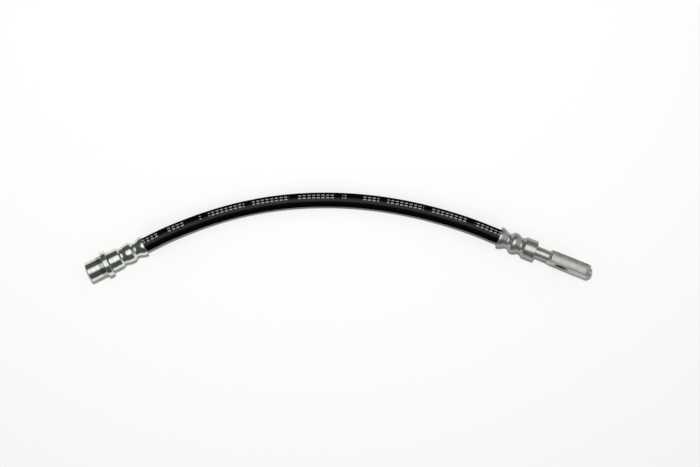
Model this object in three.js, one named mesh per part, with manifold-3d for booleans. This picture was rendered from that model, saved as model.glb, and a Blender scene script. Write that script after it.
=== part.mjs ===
// Brake hose: two-braid rubber hose, a female port fitting on one end and a banjo fitting on the other,
// each held by a crimped steel shell. Millimetres, +Z up.
// It lies on a flat surface at z = 0 on three places: the port fitting's flange, the lower edge of the
// banjo block and the middle of the hose. The origin is under the middle of the two end fittings.

import * as THREE from 'three';
import { mergeVertices } from 'three/addons/utils/BufferGeometryUtils.js';
import Module from 'manifold-3d';

const wasm = await Module();
wasm.setup();

// Clearances
const fitGap = 0.3; // between touching metal pieces
const layerGap = 0.15; // between one hose layer and the next
const hoseGap = 0.25; // between the hose and the metal that grips it

// Hose
const boreRadius = 1.6; // 1/8 inch bore
const hoseRadius = 5.25; // 10.5 mm outside
const innerTubeWall = 0.85;
const braidThickness = 0.45;
const cushionThickness = 0.25;
const coverSides = 12;
const layerSides = 8;
const routeStep = 17; // length of one straight step along the free hose
const bulgeSwell = 0.45; // how far the hose swells into the shell's bulge

// Middle line of the free hose, from the mouth of the port's shell to the mouth of the banjo's shell.
// The first and last two points lie on the fittings' axes.
const routePoints = [
  [-142.65, 6.44, 8.21],
  [-138.17, 8.66, 7.985],
  [-127.48, 13.83, 7.39],
  [-111.9, 20.31, 6.6],
  [-96.03, 26.04, 5.91],
  [-79.86, 30.87, 5.43],
  [-63.43, 34.69, 5.25],
  [-46.78, 37.46, 5.25],
  [-30.0, 39.17, 5.25],
  [-13.14, 39.86, 5.25],
  [3.73, 39.55, 5.25],
  [20.56, 38.29, 5.25],
  [37.29, 36.12, 5.36],
  [53.88, 33.05, 5.67],
  [70.3, 29.14, 6.12],
  [86.5, 24.43, 6.65],
  [102.44, 18.91, 7.23],
  [113.46, 14.49, 7.625],
  [118.1, 12.63, 7.775],
];

// Crimped shells, rolled to one pattern: a plain stretch over the fitting's collar, a crimp, a round
// bulge, a second crimp and a mouth that flares towards the hose. Each stretch has its length, and each
// place its outside radius.
const portShell = {
  bodyLength: 8.1, body: 7.3,
  shoulderLength: 1.8, firstCrimp: 6.1,
  fallLength: 5.1, crestLength: 2.6, bulge: 7.1,
  riseLength: 3, secondCrimp: 5.4,
  mouthLength: 7.5, rimLand: 2, rim: 7.1,
};
const banjoShell = {
  bodyLength: 8, body: 7.4,
  shoulderLength: 3.4, firstCrimp: 5.6,
  fallLength: 5.1, crestLength: 1.2, bulge: 7.4,
  riseLength: 3.6, secondCrimp: 5.1,
  mouthLength: 7.2, rimLand: 1.6, rim: 7.5,
};
const shellWall = 1;
const shellEdge = 0.5; // chamfer at the closed end
const lipThickness = 1.2;

// Stem, collar and neck, shared by both fittings
const passageRadius = 1;
const stemRadius = 1.7;
const stemSetback = 3; // from the stem's tip to the shell's rim
const stemChamfer = 0.4;
const neckRadius = 4.15;
const collarPlay = 0.5; // between the collar and the inside of the shell
const boreOverStem = (stemRadius + layerGap) / Math.cos(Math.PI / layerSides);

// Female port fitting
const flangeRadius = 9.5;
const flangeThickness = 3.9;
const flangeEdge = 0.4;
const portTubeRadius = 7.5;
const portTubeLength = 13.3;
const portTubeEdge = 0.6;
const portRadius = 4.5; // M10x1 port
const portDepth = 11;
const portChamfer = 0.6;
const portSeatDepth = 1.7; // cone between the port's floor and the passage

// Banjo fitting
const neckLength = 10.8;
const blockRadius = 9; // turned from 18 mm bar
const blockThickness = 8.8; // between the two milled flats
const blockLength = 26.8; // between its chamfers
const shoulderChamfer = 1.6;
const tailChamfer = 2.7;
const noseRadius = 3.15;
const noseLength = 2.1;
const noseEdge = 0.4;
const boltHoleRadius = 5.1; // clears an M10 bolt
const boltHoleAt = 11; // from the block's shoulder
const seatRadius = 7.2;
const seatDepth = 0.3;
const blockLean = THREE.MathUtils.degToRad(7); // its top leans towards +Y

const turnedSides = 32;

const rubber = () => new THREE.MeshStandardMaterial({ color: 0x0d0d0f, roughness: 0.55, metalness: 0 });
const braid = () => new THREE.MeshStandardMaterial({ color: 0xd8d2c2, roughness: 0.9, metalness: 0 });
const brightZinc = () => new THREE.MeshStandardMaterial({ color: 0xc9cec6, roughness: 0.18, metalness: 1 });
const satinZinc = () => new THREE.MeshStandardMaterial({ color: 0xb9babc, roughness: 0.4, metalness: 1 });

function turned(profile) {
  const points = profile.map(([radius, along]) => new THREE.Vector2(radius, along));
  return new THREE.LatheGeometry(points, turnedSides);
}

function toSolid(geometry) {
  const bare = geometry.clone();
  bare.deleteAttribute('normal');
  bare.deleteAttribute('uv');
  const merged = mergeVertices(bare);
  const corners = merged.index.array;
  const triangles = [];
  for (let i = 0; i < corners.length; i += 3) {
    const triangle = [corners[i], corners[i + 1], corners[i + 2]];
    if (new Set(triangle).size === 3) triangles.push(...triangle);
  }
  return new wasm.Manifold(new wasm.Mesh({
    numProp: 3,
    vertProperties: new Float32Array(merged.attributes.position.array),
    triVerts: new Uint32Array(triangles),
  }));
}

function fromSolid(solid) {
  const mesh = solid.getMesh();
  const geometry = new THREE.BufferGeometry();
  geometry.setAttribute('position', new THREE.BufferAttribute(mesh.vertProperties, 3));
  geometry.setIndex(new THREE.BufferAttribute(mesh.triVerts, 1));
  geometry.computeVertexNormals();
  return geometry;
}

function pieceMesh(name, geometry, material) {
  const mesh = new THREE.Mesh(geometry, material);
  mesh.name = name;
  return mesh;
}

// Where a shell's crimps, crest and rim are, measured from its closed end
function shellPlaces(shell) {
  const firstCrimp = shell.bodyLength + shell.shoulderLength;
  const crestStart = firstCrimp + shell.fallLength;
  const crestEnd = crestStart + shell.crestLength;
  const secondCrimp = crestEnd + shell.riseLength;
  return { firstCrimp, crestStart, crestEnd, secondCrimp, rim: secondCrimp + shell.mouthLength };
}

// Places along a shell, measured from its closed end, with the outside radius at each
function shellOutline(shell) {
  const places = shellPlaces(shell);
  const knots = [
    [shell.bodyLength, shell.body],
    [places.firstCrimp, shell.firstCrimp],
    [places.crestStart, shell.bulge],
    [places.crestEnd, shell.bulge],
    [places.secondCrimp, shell.secondCrimp],
    [places.rim - shell.rimLand, shell.rim],
  ];
  const outline = [[0, shell.body - shellEdge], [shellEdge, shell.body], knots[0]];
  for (let k = 1; k < knots.length; k++) {
    const [fromAt, fromRadius] = knots[k - 1];
    const [toAt, toRadius] = knots[k];
    const shares = fromRadius === toRadius ? [1] : [0.25, 0.5, 0.75, 1];
    for (const share of shares) {
      const eased = (1 - Math.cos(Math.PI * share)) / 2;
      outline.push([fromAt + (toAt - fromAt) * share, fromRadius + (toRadius - fromRadius) * eased]);
    }
  }
  outline.push([places.rim, shell.rim]);
  return outline;
}

// A shell's closed end is at y = 0, and its mouth is on the -Y side
function crimpShell(shell) {
  const outline = shellOutline(shell);
  const outside = outline.map(([at, radius]) => [radius, -at]).reverse();
  const inside = outline
    .filter(([at]) => at >= shell.bodyLength)
    .map(([at, radius]) => [radius - shellWall, -at]);
  const lipHole = neckRadius + fitGap;
  const profile = [
    ...outside,
    [lipHole, 0],
    [lipHole, -lipThickness],
    [shell.body - shellWall, -lipThickness],
    ...inside,
  ];
  profile.push(profile[0]);
  return turned(profile);
}

// Profile of what a fitting has inside its shell, from the passage at the stem's tip out to the neck
function stemProfile(shell) {
  const tip = stemSetback - shellPlaces(shell).rim;
  const collarRadius = shell.body - shellWall - collarPlay;
  const collarStart = -(lipThickness + fitGap);
  const collarEnd = shellWall - shell.bodyLength;
  return [
    [passageRadius, tip],
    [stemRadius - stemChamfer, tip],
    [stemRadius, tip + stemChamfer],
    [stemRadius, collarEnd],
    [collarRadius, collarEnd],
    [collarRadius, collarStart],
    [neckRadius, collarStart],
  ];
}

function portFitting() {
  const flangeStart = fitGap;
  const flangeEnd = flangeStart + flangeThickness;
  const tubeEnd = flangeEnd + portTubeLength;
  const profile = [
    ...stemProfile(portShell),
    [neckRadius, flangeStart],
    [flangeRadius - flangeEdge, flangeStart],
    [flangeRadius, flangeStart + flangeEdge],
    [flangeRadius, flangeEnd - flangeEdge],
    [flangeRadius - flangeEdge, flangeEnd],
    [portTubeRadius, flangeEnd],
    [portTubeRadius, tubeEnd - portTubeEdge],
    [portTubeRadius - portTubeEdge, tubeEnd],
    [portRadius + portChamfer, tubeEnd],
    [portRadius, tubeEnd - portChamfer],
    [portRadius, tubeEnd - portDepth],
    [passageRadius, tubeEnd - portDepth - portSeatDepth],
  ];
  profile.push(profile[0]);
  return turned(profile);
}

function banjoFitting() {
  const blockStart = neckLength + shoulderChamfer;
  const blockEnd = blockStart + blockLength;
  const tailEnd = blockEnd + tailChamfer;
  const tip = tailEnd + noseLength;
  const holeAt = neckLength + boltHoleAt;
  const halfBlock = blockThickness / 2;
  const spare = 1;
  const turnedBar = toSolid(turned([
    [0, holeAt],
    ...stemProfile(banjoShell).toSpliced(0, 0, [passageRadius, holeAt]),
    [neckRadius, neckLength],
    [blockRadius - shoulderChamfer, neckLength],
    [blockRadius, blockStart],
    [blockRadius, blockEnd],
    [blockRadius - tailChamfer, tailEnd],
    [noseRadius, tailEnd],
    [noseRadius, tip - noseEdge],
    [noseRadius - noseEdge, tip],
    [0, tip],
  ]));
  let block = turnedBar;
  for (const side of [-1, 1]) {
    const cutStart = neckLength - fitGap;
    const cutLength = tailEnd + spare - cutStart;
    const flat = new THREE.BoxGeometry(blockRadius, cutLength, 2 * blockRadius + spare);
    flat.translate(side * (halfBlock + blockRadius / 2), cutStart + cutLength / 2, 0);
    const seat = new THREE.CylinderGeometry(seatRadius, seatRadius, seatDepth + spare, turnedSides);
    seat.rotateZ(Math.PI / 2);
    seat.translate(side * (halfBlock + (spare - seatDepth) / 2), holeAt, 0);
    block = block.subtract(toSolid(flat)).subtract(toSolid(seat));
  }
  const bolt = new THREE.CylinderGeometry(boltHoleRadius, boltHoleRadius, blockThickness + spare, turnedSides);
  bolt.rotateZ(Math.PI / 2);
  bolt.translate(0, holeAt, 0);
  return fromSolid(block.subtract(toSolid(bolt)));
}

// Places along the hose where it has a ring of corners, evenly spaced where it is free. Its ring radius
// there follows the shells, which squeeze it onto the stems.
const freeRoute = new THREE.CatmullRomCurve3(
  routePoints.map((point) => new THREE.Vector3(...point)), false, 'centripetal');

function gripRings(shell) {
  const places = shellPlaces(shell);
  const collarEnd = shell.bodyLength - shellWall;
  const swollen = Math.min(shell.bulge - shellWall - hoseGap, hoseRadius + bulgeSwell);
  return [
    { depth: places.rim - collarEnd - fitGap, radius: hoseRadius },
    { depth: places.rim - places.firstCrimp, radius: shell.firstCrimp - shellWall - hoseGap },
    { depth: places.rim - places.crestStart, radius: swollen },
    { depth: places.rim - places.crestEnd, radius: swollen },
    { depth: places.rim - places.secondCrimp, radius: shell.secondCrimp - shellWall - hoseGap },
    { depth: 0, radius: hoseRadius },
  ];
}

class HoseRoute extends THREE.Curve {
  constructor() {
    super();
    this.freeLength = freeRoute.getLength();
    const freeSteps = Math.round(this.freeLength / routeStep);
    const freeRings = [];
    for (let i = 1; i < freeSteps; i++) freeRings.push({ at: this.freeLength * i / freeSteps });
    this.rings = [
      ...gripRings(portShell).map(({ depth, radius }) => ({ at: -depth, radius, gripped: true })),
      ...freeRings,
      ...gripRings(banjoShell).reverse()
        .map(({ depth, radius }) => ({ at: this.freeLength + depth, radius, gripped: true })),
    ];
    for (const ring of this.rings) ring.centre = this.pointAt(ring.at);
  }

  pointAt(at) {
    const inside = Math.min(Math.max(at, 0), this.freeLength);
    const share = inside / this.freeLength;
    return freeRoute.getPointAt(share).addScaledVector(freeRoute.getTangentAt(share), at - inside);
  }

  ringAt(share) {
    return this.rings[Math.round(share * (this.rings.length - 1))];
  }

  getPointAt(share) {
    return this.ringAt(share).centre.clone();
  }

  getTangentAt(share) {
    const along = THREE.MathUtils.clamp(this.ringAt(share).at / this.freeLength, 0, 1);
    return freeRoute.getTangentAt(along);
  }
}

const hoseRoute = new HoseRoute();

function regularOutline(radius, sides) {
  const points = [];
  for (let i = 0; i < sides; i++) {
    const angle = 2 * Math.PI * i / sides;
    points.push(new THREE.Vector2(radius * Math.cos(angle), radius * Math.sin(angle)));
  }
  return points;
}

function squeezed(radius, ring) {
  const share = (radius - boreRadius) / (hoseRadius - boreRadius);
  return boreOverStem + share * (ring.radius - boreOverStem);
}

function nearestRing(corner) {
  let nearest = hoseRoute.rings[0];
  for (const ring of hoseRoute.rings) {
    if (ring.centre.distanceTo(corner) < nearest.centre.distanceTo(corner)) nearest = ring;
  }
  return nearest;
}

function hoseLayer(insideRadius, outsideRadius, outsideSides) {
  const section = new THREE.Shape(regularOutline(outsideRadius, outsideSides));
  section.holes.push(new THREE.Path(regularOutline(insideRadius, layerSides)));
  const layer = new THREE.ExtrudeGeometry(section, {
    steps: hoseRoute.rings.length - 1,
    bevelEnabled: false,
    extrudePath: hoseRoute,
  });
  const corners = layer.attributes.position;
  const corner = new THREE.Vector3();
  for (let i = 0; i < corners.count; i++) {
    corner.fromBufferAttribute(corners, i);
    const ring = nearestRing(corner);
    if (ring.gripped) {
      const outwards = corner.clone().sub(ring.centre);
      const radius = outwards.length();
      outwards.setLength(squeezed(radius, ring));
      corner.copy(ring.centre).add(outwards);
      corners.setXYZ(i, corner.x, corner.y, corner.z);
    }
  }
  layer.computeVertexNormals();
  return layer;
}

function hose() {
  const stack = [
    { name: 'inner_tube', thickness: innerTubeWall, material: rubber() },
    { name: 'inner_braid', thickness: braidThickness, material: braid() },
    { name: 'cushion_layer', thickness: cushionThickness, material: rubber() },
    { name: 'outer_braid', thickness: braidThickness, material: braid() },
  ];
  const group = new THREE.Group();
  let inside = boreRadius;
  for (const { name, thickness, material } of stack) {
    group.add(pieceMesh(name, hoseLayer(inside, inside + thickness, layerSides), material));
    inside += thickness + layerGap;
  }
  group.add(pieceMesh('hose_cover', hoseLayer(inside, hoseRadius, coverSides), rubber()));
  return group;
}

// A fitting's group has its origin at the closed end of its shell and its +Y away from the hose
function endGroup(mouth, inner, shell) {
  const outwards = mouth.clone().sub(inner).normalize();
  const up = new THREE.Vector3(0, 0, 1).addScaledVector(outwards, -outwards.z).normalize();
  const across = new THREE.Vector3().crossVectors(outwards, up);
  const group = new THREE.Group();
  group.position.copy(mouth).addScaledVector(outwards, shellPlaces(shell).rim);
  group.quaternion.setFromRotationMatrix(new THREE.Matrix4().makeBasis(across, outwards, up));
  return group;
}

function portEnd() {
  const [mouth, inner] = freeRoute.points;
  const group = endGroup(mouth, inner, portShell);
  group.add(pieceMesh('port_fitting', portFitting(), brightZinc()));
  group.add(pieceMesh('port_crimp_shell', crimpShell(portShell), brightZinc()));
  return group;
}

function banjoEnd() {
  const [inner, mouth] = freeRoute.points.slice(-2);
  const group = endGroup(mouth, inner, banjoShell);
  const fitting = pieceMesh('banjo_fitting', banjoFitting(), satinZinc());
  fitting.rotation.y = -blockLean;
  group.add(fitting);
  group.add(pieceMesh('banjo_crimp_shell', crimpShell(banjoShell), satinZinc()));
  return group;
}

const brakeHose = new THREE.Group();
brakeHose.add(hose(), portEnd(), banjoEnd());

export default brakeHose;
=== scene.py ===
import math
import bpy
from mathutils import Matrix, Vector


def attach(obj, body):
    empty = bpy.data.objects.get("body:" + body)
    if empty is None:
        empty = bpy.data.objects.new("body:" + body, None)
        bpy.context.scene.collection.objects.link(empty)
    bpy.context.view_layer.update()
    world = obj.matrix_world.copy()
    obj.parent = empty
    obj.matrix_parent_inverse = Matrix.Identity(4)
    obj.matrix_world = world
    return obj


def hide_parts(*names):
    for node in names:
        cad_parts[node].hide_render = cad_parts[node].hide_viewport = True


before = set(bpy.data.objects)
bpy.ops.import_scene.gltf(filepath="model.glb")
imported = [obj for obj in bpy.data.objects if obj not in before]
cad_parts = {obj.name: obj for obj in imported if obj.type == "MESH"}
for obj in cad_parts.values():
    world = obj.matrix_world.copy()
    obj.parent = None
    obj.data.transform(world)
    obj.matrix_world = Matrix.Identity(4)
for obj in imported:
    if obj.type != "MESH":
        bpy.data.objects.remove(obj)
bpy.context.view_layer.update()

# Brake hose lying in a shallow arc, seen from straight above. Lengths below are in millimetres,
# and mm turns them into the frame's metres.
mm = 0.001
mergeWithin = 0.002  # vertices that lie closer than this become one
slack = 0.05  # how far past a face a cut or a test reaches
filletSteps = 5
print("frame loaded:", ", ".join(sorted(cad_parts)))

# Camera

view = {
    "middle": (8.5, 14.9, 5.25),  # what the middle of the picture shows
    "height": 1100,
    "widthSeen": 515.9,
    "sensor": 36,
}


def makeCamera():
    x, y, z = view["middle"]
    bpy.ops.object.camera_add(location=(x * mm, y * mm, (z + view["height"]) * mm), rotation=(0, 0, 0))
    camera = bpy.context.object
    camera.data.sensor_width = view["sensor"]
    camera.data.lens = view["sensor"] * view["height"] / view["widthSeen"]
    bpy.context.scene.camera = camera


makeCamera()
print("camera set")

# Crimped shells: what both share, then the lengths of their stretches from the closed end, with the
# outside radius at each place

shells = {
    "wall": 1,
    "edge": 0.5,
    "lip": 1.2,
    "innerFillet": 0.2,
    "rimEdge": 0.25,
    "hoseGap": 0.25,
    "fitGap": 0.3,
    "dieMarks": 8,  # jaws that closed round each crimp
    "dieMarkDepth": 0.1,
    "dieMarkLength": 2.6,  # a mark has all but faded this far from its crimp
    "curveSteps": 14,
    "sides": 128,
    "smoothAngle": 40,
}
portShell = {
    "bodyLength": 8.1, "body": 7.3,
    "shoulderLength": 1.8, "firstCrimp": 6.1,
    "fallLength": 5.1, "crestLength": 2.6, "bulge": 7.1,
    "riseLength": 3, "secondCrimp": 5.4,
    "mouthLength": 7.5, "rimLand": 1, "rim": 7.1,
}
banjoShell = {
    "bodyLength": 8, "body": 7.4,
    "shoulderLength": 3.4, "firstCrimp": 5.6,
    "fallLength": 5.1, "crestLength": 1.2, "bulge": 7.4,
    "riseLength": 3.6, "secondCrimp": 5.1,
    "mouthLength": 7.2, "rimLand": 1, "rim": 7.5,
}
for shell in (portShell, banjoShell):
    shell["firstCrimpAt"] = shell["bodyLength"] + shell["shoulderLength"]
    shell["crestFrom"] = shell["firstCrimpAt"] + shell["fallLength"]
    shell["crestTo"] = shell["crestFrom"] + shell["crestLength"]
    shell["secondCrimpAt"] = shell["crestTo"] + shell["riseLength"]
    shell["length"] = shell["secondCrimpAt"] + shell["mouthLength"]
    shell["hoseInside"] = shell["length"] - shell["bodyLength"] + shells["wall"] - shells["fitGap"]

# Hose: middle line of its free stretch, from the port shell's mouth to the banjo shell's

hose = {
    "points": [
        (-0.14265, 0.00644, 0.00821),
        (-0.13817, 0.00866, 0.007985),
        (-0.12748, 0.01383, 0.00739),
        (-0.1119, 0.02031, 0.0066),
        (-0.09603, 0.02604, 0.00591),
        (-0.07986, 0.03087, 0.00543),
        (-0.06343, 0.03469, 0.00525),
        (-0.04678, 0.03746, 0.00525),
        (-0.03, 0.03917, 0.00525),
        (-0.01314, 0.03986, 0.00525),
        (0.00373, 0.03955, 0.00525),
        (0.02056, 0.03829, 0.00525),
        (0.03729, 0.03612, 0.00536),
        (0.05388, 0.03305, 0.00567),
        (0.0703, 0.02914, 0.00612),
        (0.0865, 0.02443, 0.00665),
        (0.10244, 0.01891, 0.00723),
        (0.11346, 0.01449, 0.007625),
        (0.1181, 0.01263, 0.007775),
    ],
    "radius": 5.22,
    "insideRadius": 4.2,  # the braid under the cover
    "stemGap": 2.0,  # what stays open round the stem inside the shells
    "swell": 0.45,  # between the crimps
    "sides": 64,
    "step": 1.2,
    "routeSteps": 24,
    "smoothAngle": 40,
}


def deselect():
    if bpy.context.object and bpy.context.object.mode != "OBJECT":
        bpy.ops.object.mode_set(mode="OBJECT")
    bpy.ops.object.select_all(action="DESELECT")


def focus(piece):
    deselect()
    piece.select_set(True)
    bpy.context.view_layer.objects.active = piece


def addObject(name, data):
    piece = bpy.data.objects.new(name, data)
    bpy.context.collection.objects.link(piece)
    focus(piece)
    return piece


def cleanMesh(piece):
    focus(piece)
    bpy.ops.object.mode_set(mode="EDIT")
    bpy.ops.mesh.select_all(action="SELECT")
    bpy.ops.mesh.remove_doubles(threshold=mergeWithin * mm)
    bpy.ops.mesh.normals_make_consistent(inside=False)
    bpy.ops.object.mode_set(mode="OBJECT")


def eased(share):
    return (1 - math.cos(math.pi * share)) / 2


def freeLine():
    # The route as a smooth curve, turned into a line of close points
    data = bpy.data.curves.new("hose_route", "CURVE")
    data.dimensions = "3D"
    data.resolution_u = hose["routeSteps"]
    spline = data.splines.new("BEZIER")
    spline.bezier_points.add(len(hose["points"]) - 1)
    for knot, point in zip(spline.bezier_points, hose["points"]):
        knot.co = point
        knot.handle_left_type = knot.handle_right_type = "AUTO"
    line = addObject("hose_route", data)
    bpy.ops.object.convert(target="MESH")
    places = [vertex.co.copy() for vertex in line.data.vertices]
    bpy.data.objects.remove(line)
    return places


def evenSteps(places, step):
    length = sum((b - a).length for a, b in zip(places, places[1:]))
    count = round(length / step)
    spaced, walked, nextAt = [places[0]], 0.0, length / count
    for a, b in zip(places, places[1:]):
        stretch = (b - a).length
        while walked + stretch >= nextAt - 1e-9 and len(spaced) < count:
            spaced.append(a.lerp(b, (nextAt - walked) / stretch))
            nextAt += length / count
        walked += stretch
    return spaced + [places[-1]], length


def gripRadius(depth, shell):
    # Outside radius of the hose at a depth behind a shell's mouth
    squeeze = shells["wall"] + shells["hoseGap"]
    swollen = min(shell["bulge"] - squeeze, hose["radius"] + hose["swell"])
    knots = [
        (0, hose["radius"]),
        (shell["length"] - shell["secondCrimpAt"], shell["secondCrimp"] - squeeze),
        (shell["length"] - shell["crestTo"], swollen),
        (shell["length"] - shell["crestFrom"], swollen),
        (shell["length"] - shell["firstCrimpAt"], shell["firstCrimp"] - squeeze),
        (shell["hoseInside"], hose["radius"]),
    ]
    for (a, fromRadius), (b, toRadius) in zip(knots, knots[1:]):
        if depth <= b:
            return fromRadius + (toRadius - fromRadius) * eased((depth - a) / (b - a))
    return hose["radius"]


def grippedStations(mouth, inwards, shell):
    # Rings behind a shell's mouth, going inwards: centre, depth and radius
    steps = round(shell["hoseInside"] / hose["step"])
    depths = [shell["hoseInside"] * i / steps for i in range(1, steps + 1)]
    return [(mouth + inwards * depth * mm, depth * mm, gripRadius(depth, shell) * mm) for depth in depths]


def hoseStations():
    # Every ring along the whole hose: centre, direction, radius in metres and distance along it
    places, length = evenSteps(freeLine(), hose["step"] * mm)
    first, last = places[0], places[-1]
    firstDirection = (places[1] - first).normalized()
    lastDirection = (last - places[-2]).normalized()
    gripped = grippedStations(first, -firstDirection, portShell)
    stations = [(centre, firstDirection, radius, -depth) for centre, depth, radius in reversed(gripped)]
    for i, centre in enumerate(places):
        before, after = places[max(i - 1, 0)], places[min(i + 1, len(places) - 1)]
        direction = (after - before).normalized()
        stations.append((centre, direction, hose["radius"] * mm, length * i / (len(places) - 1)))
    gripped = grippedStations(last, lastDirection, banjoShell)
    stations += [(centre, lastDirection, radius, length + depth) for centre, depth, radius in gripped]
    return stations


def makeHose():
    # A closed tube: the outside rings from end to end, then the inside rings back again
    sides, gap = hose["sides"], hose["stemGap"] * mm
    wallShare = (hose["insideRadius"] - hose["stemGap"]) / (hose["radius"] - hose["stemGap"])
    stations = hoseStations()
    loop = stations + [(c, d, gap + (r - gap) * wallShare, a) for c, d, r, a in reversed(stations)]
    angles = [2 * math.pi * j / sides - math.pi for j in range(sides + 1)]  # the seam lies underneath
    around = [angle * hose["radius"] * mm for angle in angles]
    vertices, faces, spots = [], [], []
    for i, (centre, direction, radius, along) in enumerate(loop):
        side = Vector((0, 0, 1)).cross(direction).normalized()  # towards +Y where the hose runs along +X
        top = direction.cross(side)
        after = (i + 1) % len(loop)
        alongAfter = loop[after][3]
        for j in range(sides):
            beside = (j + 1) % sides
            vertices.append(centre + (top * math.cos(angles[j]) + side * math.sin(angles[j])) * radius)
            faces.append((i * sides + j, i * sides + beside, after * sides + beside, after * sides + j))
            spots += [(along, around[j]), (along, around[j + 1])]
            spots += [(alongAfter, around[j + 1]), (alongAfter, around[j])]
    mesh = bpy.data.meshes.new("rubber_hose")
    mesh.from_pydata(vertices, [], faces)
    uvMap = mesh.uv_layers.new(name="alongAndRound")  # metres along the hose and round it
    for corner, spot in zip(uvMap.data, spots):
        corner.uv = spot
    piece = addObject("rubber_hose", mesh)
    cleanMesh(piece)
    bpy.ops.object.shade_smooth_by_angle(angle=math.radians(hose["smoothAngle"]))
    return piece, [centre for centre, _, _, _ in stations]


rubberHose, hosePath = makeHose()
hoseLength = sum((b - a).length for a, b in zip(hosePath, hosePath[1:]))
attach(rubberHose, "root")
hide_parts("hose_cover")
print("hose made,", round(hoseLength * 1000, 1), "mm long with its ends in the shells")

# The two ends. Each is modelled upright in its own frame: origin at the shell's closed end, +Y away
# from the hose, +Z up.


def endFrame(mouth, inner, shell):
    outwards = (Vector(mouth) - Vector(inner)).normalized()
    up = Vector((0, 0, 1))
    up = (up - outwards * outwards.z).normalized()
    across = outwards.cross(up)
    origin = Vector(mouth) + outwards * shell["length"] * mm
    return Matrix.Translation(origin) @ Matrix((across, outwards, up)).transposed().to_4x4()


portFrame = endFrame(hose["points"][0], hose["points"][1], portShell)
banjoFrame = endFrame(hose["points"][-1], hose["points"][-2], banjoShell)


def rounded(corners):
    # Profile corners (radius, along, fillet) with each fillet drawn as a short curve
    points = []
    for i, (radius, along, fillet) in enumerate(corners):
        corner = Vector((radius, along))
        if fillet == 0 or i in (0, len(corners) - 1):
            points.append(corner)
            continue
        before = Vector(corners[i - 1][:2]) - corner
        after = Vector(corners[i + 1][:2]) - corner
        turn = math.pi - before.angle(after)
        reach = fillet * math.tan(turn / 2)
        start, end = corner + before.normalized() * reach, corner + after.normalized() * reach
        for k in range(filletSteps + 1):
            s = k / filletSteps
            points.append(start * (1 - s) ** 2 + corner * 2 * s * (1 - s) + end * s ** 2)
    return points


def drawProfile(points):
    # A new object, left in edit mode, in which one vertex was extruded from point to point
    deselect()
    bpy.ops.mesh.primitive_plane_add(size=mm, location=(0, 0, 0))
    piece = bpy.context.object
    bpy.ops.object.mode_set(mode="EDIT")
    bpy.ops.mesh.select_all(action="SELECT")
    bpy.ops.mesh.merge(type="CENTER")
    bpy.ops.transform.translate(value=(points[0][0] * mm, points[0][1] * mm, 0))
    for a, b in zip(points, points[1:]):
        step = ((b[0] - a[0]) * mm, (b[1] - a[1]) * mm, 0)
        bpy.ops.mesh.extrude_vertices_move(TRANSFORM_OT_translate={"value": step})
    bpy.ops.mesh.select_all(action="SELECT")
    return piece


def spinPiece(name, points, sides):
    # The profile spun round the Y axis
    piece = drawProfile(points)
    piece.name = piece.data.name = name
    bpy.ops.mesh.spin(steps=sides, angle=2 * math.pi, center=(0, 0, 0), axis=(0, 1, 0))
    cleanMesh(piece)
    return piece


def bringTo(matrix, piece, smoothAngle):
    focus(piece)
    piece.matrix_world = matrix
    bpy.ops.object.transform_apply(location=True, rotation=True, scale=True)
    bpy.ops.object.shade_smooth_by_angle(angle=math.radians(smoothAngle))


def shellOutline(shell):
    knots = [
        (shell["bodyLength"], shell["body"]),
        (shell["firstCrimpAt"], shell["firstCrimp"]),
        (shell["crestFrom"], shell["bulge"]),
        (shell["crestTo"], shell["bulge"]),
        (shell["secondCrimpAt"], shell["secondCrimp"]),
        (shell["length"] - shell["rimLand"], shell["rim"]),
    ]
    outline = [knots[0]]
    steps = shells["curveSteps"]
    for (a, fromRadius), (b, toRadius) in zip(knots, knots[1:]):
        for k in range(1, steps + 1):
            radius = fromRadius + (toRadius - fromRadius) * eased(k / steps)
            outline.append((a + (b - a) * k / steps, radius))
    outline.append((shell["length"], shell["rim"]))
    return outline


def pressDies(piece, shell):
    # The jaws leave shallow flats round each crimp, which fade out along the shell
    for vertex in piece.data.vertices:
        x, y, z = vertex.co
        radius = math.hypot(x, z)
        share = sum(math.exp(-((-y / mm - at) / shells["dieMarkLength"]) ** 2 * 2)
                    for at in (shell["firstCrimpAt"], shell["secondCrimpAt"]))
        angle = math.atan2(x, z) + math.pi / shells["dieMarks"]
        dip = shells["dieMarkDepth"] * mm * share * (1 - abs(math.cos(angle * shells["dieMarks"] / 2)))
        vertex.co.x *= (radius - dip) / radius
        vertex.co.z *= (radius - dip) / radius


def makeShell(name, shell, matrix):
    wall, lip, length = shells["wall"], shells["lip"], shell["length"]
    fillet, rimEdge = shells["innerFillet"], shells["rimEdge"]
    outline = shellOutline(shell)
    lipHole = fitting["neckRadius"] + shells["fitGap"]
    corners = [(lipHole, -lip, 0), (lipHole, 0, fillet), (shell["body"], 0, shells["edge"])]
    corners += [(radius, -at, 0) for at, radius in outline[:-1]]
    corners += [(shell["rim"], -length, rimEdge), (shell["rim"] - wall, -length, rimEdge)]
    corners += [(radius - wall, -at, 0) for at, radius in reversed(outline[:-1])]
    corners += [(shell["body"] - wall, -lip, fillet), (lipHole, -lip, 0)]
    piece = spinPiece(name, rounded(corners), shells["sides"])
    pressDies(piece, shell)
    bringTo(matrix, piece, shells["smoothAngle"])
    return piece


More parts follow.
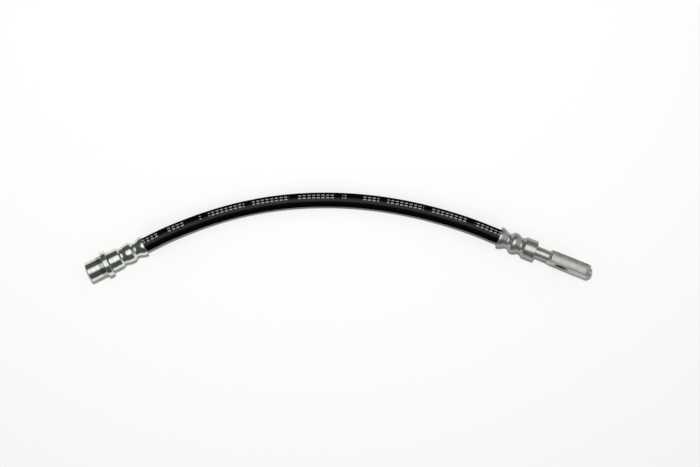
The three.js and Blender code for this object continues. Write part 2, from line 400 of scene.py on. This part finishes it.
fitting = {
    "passageRadius": 1,
    "stemRadius": 1.7,
    "stemSetback": 3,
    "stemChamfer": 0.4,
    "neckRadius": 4.15,
    "collarPlay": 0.5,  # the collar's radius is this much less than the shell's inside
    "passageEdge": 0.1,
    "fillet": 0.2,
    "edge": 0.3,
}
port = {
    "flangeRadius": 9.5,
    "flangeThickness": 3.9,
    "flangeEdge": 0.5,
    "tubeRadius": 7.5,
    "tubeLength": 13.3,
    "tubeEdge": 0.95,
    "cornerFillet": 0.3,
    "neckFillet": 0.15,
    "mouthEdge": 0.15,
    "portRadius": 4.5,
    "threadDepth": 0.55,
    "threadPitch": 1,
    "threadRun": 9,
    "threadRunout": 0.3,
    "threadSunk": 0.12,
    "ridgeShares": (0, 0.06, 0.38, 0.5, 0.82, 0.88),  # corners of the ridge along one pitch
    "threadSteps": 64,
    "portDepth": 11,
    "portChamfer": 0.6,
    "seatDepth": 1.7,
    "sides": 128,
    "smoothAngle": 35,
}


def stemCorners(shell):
    # The stem inside the hose and the collar inside the shell
    fillet, edge = fitting["fillet"], fitting["edge"]
    tip = fitting["stemSetback"] - shell["length"]
    collar = shell["body"] - shells["wall"] - fitting["collarPlay"]
    collarStart = -(shells["lip"] + shells["fitGap"])
    collarEnd = shells["wall"] - shell["bodyLength"]
    return [
        (fitting["passageRadius"], tip, fitting["passageEdge"]),
        (fitting["stemRadius"], tip, fitting["stemChamfer"]),
        (fitting["stemRadius"], collarEnd, fillet),
        (collar, collarEnd, edge),
        (collar, collarStart, edge),
        (fitting["neckRadius"], collarStart, fillet),
    ]


def makePortFitting():
    flangeStart = shells["fitGap"]
    flangeEnd = flangeStart + port["flangeThickness"]
    tubeEnd = flangeEnd + port["tubeLength"]
    root = port["portRadius"] + port["threadDepth"]
    floor = tubeEnd - port["portDepth"]
    threadEnd = tubeEnd - port["portChamfer"] - port["threadRun"]
    corners = stemCorners(portShell) + [
        (fitting["neckRadius"], flangeStart, port["neckFillet"]),
        (port["flangeRadius"], flangeStart, port["flangeEdge"]),
        (port["flangeRadius"], flangeEnd, port["flangeEdge"]),
        (port["tubeRadius"], flangeEnd, port["cornerFillet"]),
        (port["tubeRadius"], tubeEnd, port["tubeEdge"]),
        (root + port["portChamfer"] / 2, tubeEnd, port["mouthEdge"]),
        (root, tubeEnd - port["portChamfer"], 0),
        (root, threadEnd, 0),
        (port["portRadius"], threadEnd - port["threadRunout"], 0),
        (port["portRadius"], floor, fitting["fillet"]),
        (fitting["passageRadius"], floor - port["seatDepth"], fitting["passageEdge"]),
        (fitting["passageRadius"], fitting["stemSetback"] - portShell["length"], 0),
    ]
    body = spinPiece("threaded_port_fitting", rounded(corners), port["sides"])
    thread = makeThread(root, threadEnd)
    focus(body)
    thread.select_set(True)
    bpy.ops.object.join()
    bringTo(portFrame, body, port["smoothAngle"])
    return body


def makeThread(root, start):
    # One ridge, screwed up the port by its pitch at every turn, with its foot sunk into the wall
    pitch, crest = port["threadPitch"], port["portRadius"]
    foot = root + port["threadSunk"]
    radii = (foot, root, crest, crest, root, foot)
    ridge = [(radius, start + share * pitch) for radius, share in zip(radii, port["ridgeShares"])]
    thread = drawProfile(ridge + ridge[:1])
    bpy.ops.mesh.remove_doubles(threshold=mergeWithin * mm)
    bpy.ops.mesh.edge_face_add()
    bpy.ops.object.mode_set(mode="OBJECT")
    screw = thread.modifiers.new("thread", "SCREW")
    screw.axis = "Y"
    screw.angle = 2 * math.pi
    screw.screw_offset = pitch * mm
    screw.iterations = int(port["threadRun"] / pitch) - 1
    screw.steps = screw.render_steps = port["threadSteps"]
    screw.use_normal_calculate = True
    bpy.ops.object.modifier_apply(modifier=screw.name)
    cleanMesh(thread)
    return thread


banjo = {
    "neckLength": 10.8,
    "blockRadius": 9,
    "blockThickness": 8.8,
    "blockLength": 26.8,
    "blockEdge": 0.3,
    "neckFillet": 0.35,
    "shoulderChamfer": 1.6,
    "tailChamfer": 2.7,
    "noseRadius": 3.15,
    "noseLength": 2.1,
    "noseEdge": 0.6,
    "holeRadius": 5.1,
    "holeAt": 11,
    "seatRadius": 7.2,
    "seatDepth": 0.3,
    "lean": 7,  # degrees by which the block leans over
    "edgeBreak": 0.07,  # how deep the flats' long edges are broken
    "seatChamfer": 0.1,
    "holeChamfer": 0.3,
    "sides": 96,
    "holeSides": 128,
    "smoothAngle": 30,
}


def cutOut(piece, cutter):
    focus(piece)
    cut = piece.modifiers.new("cut", "BOOLEAN")
    cut.operation = "DIFFERENCE"
    cut.solver = "EXACT"
    cut.object = cutter
    bpy.ops.object.modifier_apply(modifier=cut.name)
    bpy.data.objects.remove(cutter)


def flatCutter(side):
    # A prism beyond one flat, with its inner corners sloped so that the flat's long edges are broken
    half, past = banjo["blockThickness"] / 2, 20
    lean = math.acos(half / banjo["blockRadius"]) / 2
    corner = math.sqrt(banjo["blockRadius"] ** 2 - half ** 2)
    breakAt = corner - banjo["edgeBreak"] / math.sin(lean)
    breakEnd = half - (past - breakAt) * math.tan(lean)
    outline = [(past, -past), (past, past), (breakEnd, past), (half, breakAt)]
    outline += [(half, -breakAt), (breakEnd, -past)]
    first, last = banjo["neckLength"] - slack, banjo["neckLength"] + 2 * past
    corners = [(side * x * mm, y * mm, z * mm) for y in (first, last) for x, z in outline]
    count = len(outline)
    faces = [tuple(range(count)), tuple(range(2 * count - 1, count - 1, -1))]
    faces += [(i, i + count, (i + 1) % count + count, (i + 1) % count) for i in range(count)]
    mesh = bpy.data.meshes.new("flat_cutter")
    mesh.from_pydata(corners, [], faces)
    cutter = addObject("flat_cutter", mesh)
    cleanMesh(cutter)
    return cutter


def boltCutter(holeAt):
    # One cutter for the bolt hole, its chamfers and the washer seats on both flats
    half, past = banjo["blockThickness"] / 2, 1
    seat, hole = banjo["seatRadius"], banjo["holeRadius"]
    seatAt = half - banjo["seatDepth"]
    outer = [
        (seat + banjo["seatChamfer"] + past, half + past),
        (seat, half - banjo["seatChamfer"]),
        (seat, seatAt),
        (hole + banjo["holeChamfer"], seatAt),
        (hole, seatAt - banjo["holeChamfer"]),
    ]
    points = [Vector((0, -half - past))] + [Vector((radius, -at)) for radius, at in outer]
    points += [Vector((radius, at)) for radius, at in reversed(outer)] + [Vector((0, half + past))]
    cutter = spinPiece("bolt_cutter", points, banjo["holeSides"])
    across = Matrix.Rotation(math.pi / 2, 4, "Z")
    bringTo(Matrix.Translation((0, holeAt * mm, 0)) @ across, cutter, banjo["smoothAngle"])
    return cutter


def makeBanjoFitting():
    neckLength, blockRadius = banjo["neckLength"], banjo["blockRadius"]
    fillet, edge = fitting["fillet"], banjo["blockEdge"]
    blockStart = neckLength + banjo["shoulderChamfer"]
    blockEnd = blockStart + banjo["blockLength"]
    tailEnd = blockEnd + banjo["tailChamfer"]
    tip = tailEnd + banjo["noseLength"]
    holeAt = neckLength + banjo["holeAt"]
    corners = [(0, holeAt, 0), (fitting["passageRadius"], holeAt, 0)]
    corners += stemCorners(banjoShell) + [
        (fitting["neckRadius"], neckLength, banjo["neckFillet"]),
        (blockRadius - banjo["shoulderChamfer"], neckLength, fillet),
        (blockRadius, blockStart, edge),
        (blockRadius, blockEnd, edge),
        (blockRadius - banjo["tailChamfer"], tailEnd, edge),
        (banjo["noseRadius"], tailEnd, fillet),
        (banjo["noseRadius"], tip, banjo["noseEdge"]),
        (0, tip, 0),
    ]
    piece = spinPiece("banjo_block_fitting", rounded(corners), banjo["sides"])
    for side in (-1, 1):
        cutOut(piece, flatCutter(side))
    cutOut(piece, boltCutter(holeAt))
    # The wall of the hole gets a near-black colour, a painted shade, and the two flats get a lighter colour,
    # partly their milled finish and partly a painted reflection
    shadedBore, flats = [], []
    for polygon in piece.data.polygons:
        fromHole = math.hypot(polygon.center.y - holeAt * mm, polygon.center.z)
        facing = abs(polygon.normal.x)
        if fromHole < (banjo["holeRadius"] + slack) * mm and facing < 0.5:
            shadedBore.append(polygon.index)
        elif facing > 0.9 and polygon.center.y > neckLength * mm:
            flats.append(polygon.index)
    lean = Matrix.Rotation(-math.radians(banjo["lean"]), 4, "Y")
    bringTo(banjoFrame @ lean, piece, banjo["smoothAngle"])
    return piece, shadedBore, flats


portCrimpShell = makeShell("rolled_port_shell", portShell, portFrame)
banjoCrimpShell = makeShell("rolled_banjo_shell", banjoShell, banjoFrame)
portBody = makePortFitting()
banjoBody, shadedBoreFaces, flatFaces = makeBanjoFitting()
for piece, node, slot in (
    (portCrimpShell, "port_crimp_shell", "bright_zinc"),
    (banjoCrimpShell, "banjo_crimp_shell", "satin_zinc"),
    (portBody, "port_fitting", "bright_zinc"),
    (banjoBody, "banjo_fitting", "satin_zinc"),
):
    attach(piece, "root")
    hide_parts(node)
    print(piece.name, "made,", len(piece.data.polygons), "faces")

# Materials


def connect(owner, node, inputs):
    # Each input, by name or number, gets a value or another node's output
    for key, value in inputs.items():
        if isinstance(value, bpy.types.NodeSocket):
            owner.node_tree.links.new(value, node.inputs[key])
        else:
            node.inputs[key].default_value = value


def addNode(owner, kind, inputs=None, **settings):
    node = owner.node_tree.nodes.new("ShaderNode" + kind)
    for key, value in settings.items():
        setattr(node, key, value)
    connect(owner, node, inputs or {})
    return node


def startMaterial(name):
    material = bpy.data.materials.new(name)
    material.use_nodes = True
    material.node_tree.nodes.clear()
    shader = addNode(material, "BsdfPrincipled")
    addNode(material, "OutputMaterial", {"Surface": shader.outputs["BSDF"]})
    return material, shader


def calculate(owner, operation, a, b=0.0, c=0.0):
    return addNode(owner, "Math", {0: a, 1: b, 2: c}, operation=operation).outputs[0]


def noise(owner, where, scale, detail):
    return addNode(owner, "TexNoise", {"Vector": where, "Scale": scale, "Detail": detail}).outputs[0]


def smoothStep(owner, value, low, high):
    node = addNode(owner, "MapRange", {0: value, 1: low, 2: high}, interpolation_type="SMOOTHSTEP")
    return node.outputs[0]


def blend(owner, share, a, b):
    return addNode(owner, "Mix", {0: share, 6: a, 7: b}, data_type="RGBA").outputs[2]


def objectPlace(owner):
    return addNode(owner, "TexCoord").outputs["Object"]


def ramp(owner, value, stops):
    node = addNode(owner, "ValToRGB", {"Fac": value})
    for element, (at, colour) in zip(node.color_ramp.elements, stops):
        element.position = at
        element.color = (*colour, 1)
    return node.outputs["Color"]


def roughen(owner, value, roughness):
    low, high = roughness
    return calculate(owner, "MULTIPLY_ADD", value, high - low, low)


zinc = {
    "markScale": (300, 7000, 300),  # turning marks, drawn out round the axis
    "markDetail": 3,
    "markRoughness": 0.08,
    "markDepth": 0.004,
    "markBump": 0.5,
    "cloudScale": 260,
    "cloudDetail": 4,
    "cloudStops": (0.35, 0.65),
    "wander": 1.2,  # millimetres by which the clouds shift the edge of a band
    "darkerBandColour": (0.12, 0.13, 0.11),
}
zincLooks = {
    "bright": {
        "dark": (0.56, 0.6, 0.54),
        "light": (0.74, 0.77, 0.7),
        "roughness": (0.05, 0.17),
        "metallic": 0.95,
        # a darker band on the tube beside the flange, which dims its highlight there
        "darkerBand": {"from": 4.6, "fromEdge": 0.3, "to": 8.0, "toEdge": 0.4, "share": 0.5},
    },
    "satin": {
        "dark": (0.52, 0.53, 0.5),
        "light": (0.67, 0.67, 0.65),
        "roughness": (0.16, 0.3),
        "metallic": 0.87,
    },
    "milled": {
        "dark": (0.5, 0.5, 0.48),
        "light": (0.64, 0.64, 0.62),
        "roughness": (0.32, 0.44),
        "metallic": 0.8,
        # the turned neck and the shoulder's chamfer are smoother than the block
        "smooth": {"to": 12.6, "edge": 0.4, "by": 0.22},
    },
    # lighter than the block: partly the flats' milled finish, partly a painted reflection of the lit floor
    "flat": {
        "dark": (0.74, 0.74, 0.72),
        "light": (0.92, 0.91, 0.88),
        "roughness": (0.2, 0.34),
        "metallic": 0.75,
    },
    # near-black colour for the wall of the hole: painted shade inside the hole
    "shadedBore": {
        "dark": (0.03, 0.03, 0.028),
        "light": (0.07, 0.066, 0.06),
        "roughness": (0.4, 0.6),
        "metallic": 0.6,
    },
}


def makeZinc(name, look, matrix):
    material, shader = startMaterial(name)
    # The end's own coordinates, in which y runs along its axis
    local = addNode(material, "Mapping", {
        "Vector": objectPlace(material),
        "Location": matrix.to_translation(),
        "Rotation": matrix.to_euler(),
    }, vector_type="TEXTURE").outputs["Vector"]
    stretched = addNode(material, "Mapping", {"Vector": local, "Scale": zinc["markScale"]}).outputs["Vector"]
    marks = noise(material, stretched, 1, zinc["markDetail"])
    cloud = noise(material, local, zinc["cloudScale"], zinc["cloudDetail"])
    colour = ramp(material, cloud, zip(zinc["cloudStops"], (look["dark"], look["light"])))
    rough = roughen(material, cloud, look["roughness"])
    rough = calculate(material, "MULTIPLY_ADD", marks, zinc["markRoughness"], rough)
    along = addNode(material, "SeparateXYZ", {0: local}).outputs[1]
    along = calculate(material, "MULTIPLY_ADD", along, 1 / mm, -zinc["wander"] / 2)
    along = calculate(material, "MULTIPLY_ADD", cloud, zinc["wander"], along)
    # colour darkened in a band beside the flange
    if "darkerBand" in look:
        darkerBand = look["darkerBand"]
        above = smoothStep(material, along, darkerBand["from"] - darkerBand["fromEdge"], darkerBand["from"] + darkerBand["fromEdge"])
        below = smoothStep(material, along, darkerBand["to"] + darkerBand["toEdge"], darkerBand["to"] - darkerBand["toEdge"])
        band = calculate(material, "MULTIPLY", calculate(material, "MULTIPLY", above, below), darkerBand["share"])
        colour = blend(material, band, colour, (*zinc["darkerBandColour"], 1))
    if "smooth" in look:
        smooth = look["smooth"]
        block = smoothStep(material, along, smooth["to"] - smooth["edge"], smooth["to"] + smooth["edge"])
        neck = calculate(material, "SUBTRACT", 1.0, block)
        smoother = calculate(material, "MULTIPLY", smooth["by"], neck)
        rough = calculate(material, "SUBTRACT", rough, smoother)
    bump = addNode(material, "Bump", {
        "Strength": zinc["markBump"],
        "Distance": zinc["markDepth"] * mm,
        "Height": marks,
    })
    connect(material, shader, {
        "Base Color": colour,
        "Roughness": rough,
        "Normal": bump.outputs["Normal"],
        "Metallic": look["metallic"],
    })
    return material


rubber = {
    "colour": (0.002, 0.002, 0.0024),
    "shades": (0.8, 1.3),
    "shadeStops": (0.3, 0.7),
    "cloudScale": 120,
    "cloudDetail": 4,
    "roughness": (0.17, 0.27),
    "gloss": 0.3,
    "glossTo": 0.16,  # seen more aslant than this, the rubber has no gloss
    "grainScale": 3500,
    "grainDetail": 2,
    "grainBump": 0.35,
    "grainDepth": 0.01,
    "ink": (0.36, 0.38, 0.4),
    "wearScale": 1500,
    "wearDetail": 3,
    "wear": (0.4, 1.3),  # the ink's cover where it is most and least worn
    "rowAt": 2.4,  # millimetres round the hose from its top
    "rowGap": 1.05,
    "rowHalf": 0.42,
    "marks": [  # dashes, their groups, and lines of groups
        {"pitch": 3.4, "share": 0.64, "start": 500},
        {"pitch": 33, "share": 0.82, "start": 509},
        {"pitch": 121, "share": 0.9, "start": 560},
    ],
}


def inkMask(material):
    # Two rows of plain dashes, in the place of the printing
    route = addNode(material, "UVMap", uv_map="alongAndRound").outputs[0]
    spot = addNode(material, "SeparateXYZ", {0: route})
    along, around = (calculate(material, "MULTIPLY", spot.outputs[i], 1 / mm) for i in (0, 1))
    fromRow = calculate(material, "ABSOLUTE", calculate(material, "SUBTRACT", around, rubber["rowAt"]))
    fromLine = calculate(material, "ABSOLUTE", calculate(material, "SUBTRACT", fromRow, rubber["rowGap"]))
    mask = calculate(material, "LESS_THAN", fromLine, rubber["rowHalf"])
    for mark in rubber["marks"]:
        shifted = calculate(material, "ADD", along, mark["start"])
        phase = calculate(material, "FRACT", calculate(material, "DIVIDE", shifted, mark["pitch"]))
        mask = calculate(material, "MULTIPLY", mask, calculate(material, "LESS_THAN", phase, mark["share"]))
    return mask


def makeRubber():
    material, shader = startMaterial("printed_rubber")
    where = objectPlace(material)
    wear = noise(material, where, rubber["wearScale"], rubber["wearDetail"])
    cover = calculate(material, "MULTIPLY", inkMask(material), roughen(material, wear, rubber["wear"]))
    cloud = noise(material, where, rubber["cloudScale"], rubber["cloudDetail"])
    colours = [[part * shade for part in rubber["colour"]] for shade in rubber["shades"]]
    base = ramp(material, cloud, zip(rubber["shadeStops"], colours))
    bump = addNode(material, "Bump", {
        "Strength": rubber["grainBump"],
        "Distance": rubber["grainDepth"] * mm,
        "Height": noise(material, where, rubber["grainScale"], rubber["grainDetail"]),
    })
    facing = addNode(material, "LayerWeight", {"Blend": 0.5}).outputs["Facing"]
    gloss = addNode(material, "MapRange", {
        "Value": facing,
        "From Min": 0.0,
        "From Max": rubber["glossTo"],
        "To Min": rubber["gloss"],
        "To Max": 0.0,
    }, interpolation_type="SMOOTHSTEP")
    shader.inputs["Specular IOR Level"].default_value = rubber["gloss"]
    connect(material, shader, {
        "Base Color": blend(material, cover, base, (*rubber["ink"], 1)),
        "Roughness": roughen(material, cloud, rubber["roughness"]),
        "Normal": bump.outputs["Normal"],
        "Specular IOR Level": gloss.outputs["Result"],
    })
    return material


braid = {
    "scale": 2200,
    "detail": 2,
    "stops": [(0.35, (0.55, 0.5, 0.42)), (0.65, (0.8, 0.76, 0.68))],
    "roughness": 0.85,
    "bump": 0.6,
    "depth": 0.08,
}
innerRubber = {
    "scale": 400,
    "detail": 3,
    "stops": [(0.3, (0.006, 0.006, 0.0065)), (0.7, (0.012, 0.012, 0.013))],
    "roughness": (0.45, 0.6),
}


def makeBraid():
    material, shader = startMaterial("braided_yarn")
    weave = noise(material, objectPlace(material), braid["scale"], braid["detail"])
    bump = addNode(material, "Bump", {
        "Strength": braid["bump"],
        "Distance": braid["depth"] * mm,
        "Height": weave,
    })
    connect(material, shader, {
        "Base Color": ramp(material, weave, braid["stops"]),
        "Roughness": braid["roughness"],
        "Normal": bump.outputs["Normal"],
    })
    return material


def makeLining():
    material, shader = startMaterial("lining_rubber")
    cloud = noise(material, objectPlace(material), innerRubber["scale"], innerRubber["detail"])
    connect(material, shader, {
        "Base Color": ramp(material, cloud, innerRubber["stops"]),
        "Roughness": roughen(material, cloud, innerRubber["roughness"]),
    })
    return material


def dress(piece, material):
    piece.data.materials.clear()
    piece.data.materials.append(material)


dress(rubberHose, makeRubber())
dress(portCrimpShell, makeZinc("bright_shell_zinc", zincLooks["bright"], portFrame))
dress(portBody, makeZinc("bright_port_zinc", zincLooks["bright"], portFrame))
dress(banjoCrimpShell, makeZinc("satin_shell_zinc", zincLooks["satin"], banjoFrame))
dress(banjoBody, makeZinc("milled_banjo_zinc", zincLooks["milled"], banjoFrame))
# the wall of the hole gets painted shade, the flats a lighter colour that is partly a painted reflection
for name, look, faces in (("bore_painted_shade", "shadedBore", shadedBoreFaces), ("milled_flat_and_painted_reflection", "flat", flatFaces)):
    banjoBody.data.materials.append(makeZinc(name, zincLooks[look], banjoFrame))
    for index in faces:
        banjoBody.data.polygons[index].material_index = len(banjoBody.data.materials) - 1
braidYarn, lining = makeBraid(), makeLining()
for node, material in (("inner_tube", lining), ("inner_braid", braidYarn),
                       ("cushion_layer", lining), ("outer_braid", braidYarn)):
    dress(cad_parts[node], material)
print("materials set")

# Floor, light and surroundings

studio = {
    "floorSize": 12,
    "floorColour": (0.95, 0.95, 0.945),
    "floorRoughness": 0.9,
    "floorGloss": 0.1,
    "whiteFrom": 0.26,  # metres from the middle: the floor that the camera sees turns to plain white
    "whiteTo": 0.7,
    "plainWhite": (0.94, 0.94, 0.94),
    "reflectedNear": 0.06,  # metal sees the white floor this far from the middle line
    "reflectedFar": 0.15,
    "reflectedLeft": 1.0,
    "reflectedRight": 0.52,
    "reflectedChange": 0.1,
    "lampPlace": (-0.03, 0.33, 1.5),
    "lampSize": 0.1,
    "lampPower": 17.3,
    "openings": [  # where glossy surfaces see a bright patch: direction, degrees of half width, level
        {"towards": (0, 0.03, 1), "half": (14, 37), "level": 1.35},
        {"towards": (1, 0.05, 0.62), "half": (24, 42), "level": 0.42},
    ],
    "darkTowardsPlusY": (0.06, 0.062, 0.045),
    "darkTowardsMinusY": (0.04, 0.058, 0.058),
    "darkChange": 0.5,
    "roomForRest": 0.33,
}


def makeFloor():
    deselect()
    bpy.ops.mesh.primitive_plane_add(size=studio["floorSize"], location=(0, 0, 0))
    floor = bpy.context.object
    floor.name = "floor"
    material, shader = startMaterial("floor_white")
    output = material.node_tree.nodes["Material Output"]
    path = addNode(material, "LightPath")
    where = objectPlace(material)
    spot = addNode(material, "SeparateXYZ", {0: where})
    away = calculate(material, "ABSOLUTE", spot.outputs[1])
    near = smoothStep(material, away, studio["reflectedFar"], studio["reflectedNear"])
    side = addNode(material, "MapRange", {
        "Value": spot.outputs[0],
        "From Min": -studio["reflectedChange"],
        "From Max": studio["reflectedChange"],
        "To Min": studio["reflectedLeft"],
        "To Max": studio["reflectedRight"],
    })
    reflected = calculate(material, "MULTIPLY", near, side.outputs["Result"])
    level = addNode(material, "Mix", {0: path.outputs["Is Glossy Ray"], 2: 1.0, 3: reflected})
    colour = addNode(material, "VectorMath", {0: studio["floorColour"], "Scale": level.outputs[0]},
                     operation="SCALE")
    connect(material, shader, {
        "Base Color": colour.outputs[0],
        "Roughness": studio["floorRoughness"],
        "Specular IOR Level": studio["floorGloss"],
    })
    far = addNode(material, "VectorMath", {0: where}, operation="LENGTH").outputs["Value"]
    white = smoothStep(material, far, studio["whiteFrom"], studio["whiteTo"])
    seen = calculate(material, "MULTIPLY", white, path.outputs["Is Camera Ray"])
    glow = addNode(material, "Emission", {"Color": (*studio["plainWhite"], 1), "Strength": 1.0})
    mix = addNode(material, "MixShader", {0: seen, 1: shader.outputs[0], 2: glow.outputs[0]})
    connect(material, output, {"Surface": mix.outputs[0]})
    dress(floor, material)


def makeLight():
    x, y, z = studio["lampPlace"]
    bpy.ops.object.light_add(type="AREA", location=(x, y, z))
    lamp = bpy.context.object
    lamp.data.shape = "DISK"
    lamp.data.size = studio["lampSize"]
    lamp.data.energy = studio["lampPower"]
    lamp.rotation_euler = Vector((-x, -y, -z)).to_track_quat("-Z", "Y").to_euler()
    lamp.visible_glossy = False


def makeRoom():
    # Diffuse surfaces see an even room. Glossy ones see a dark room with two bright openings.
    world = bpy.data.worlds.new("room")
    world.use_nodes = True
    world.cycles.sampling_method = "NONE"
    bpy.context.scene.world = world
    world.node_tree.nodes.clear()
    direction = addNode(world, "TexCoord").outputs["Generated"]
    sideways = addNode(world, "SeparateXYZ", {0: direction}).outputs["Y"]
    change = studio["darkChange"]
    across = addNode(world, "MapRange", {0: sideways, 1: -change, 2: change}).outputs[0]
    shade = blend(world, across, (*studio["darkTowardsMinusY"], 1), (*studio["darkTowardsPlusY"], 1))
    for patch in studio["openings"]:
        inner, outer = (math.cos(math.radians(angle)) for angle in patch["half"])
        middle = Vector(patch["towards"]).normalized()
        towards = addNode(world, "VectorMath", {0: direction, 1: middle}, operation="DOT_PRODUCT")
        opening = smoothStep(world, towards.outputs["Value"], outer, inner)
        shade = blend(world, opening, shade, (*[patch["level"]] * 3, 1))
    white = (1, 1, 1, 1)
    rest = addNode(world, "Background", {"Color": white, "Strength": studio["roomForRest"]})
    metal = addNode(world, "Background", {"Color": shade})
    plain = addNode(world, "Background", {"Color": white})
    path = addNode(world, "LightPath")
    glossy = addNode(world, "MixShader",
                     {0: path.outputs["Is Glossy Ray"], 1: rest.outputs[0], 2: metal.outputs[0]})
    seen = addNode(world, "MixShader",
                   {0: path.outputs["Is Camera Ray"], 1: glossy.outputs[0], 2: plain.outputs[0]})
    addNode(world, "OutputWorld", {"Surface": seen.outputs[0]})


makeFloor()
makeLight()
makeRoom()
bpy.context.scene.view_settings.view_transform = "Standard"
print("studio set")
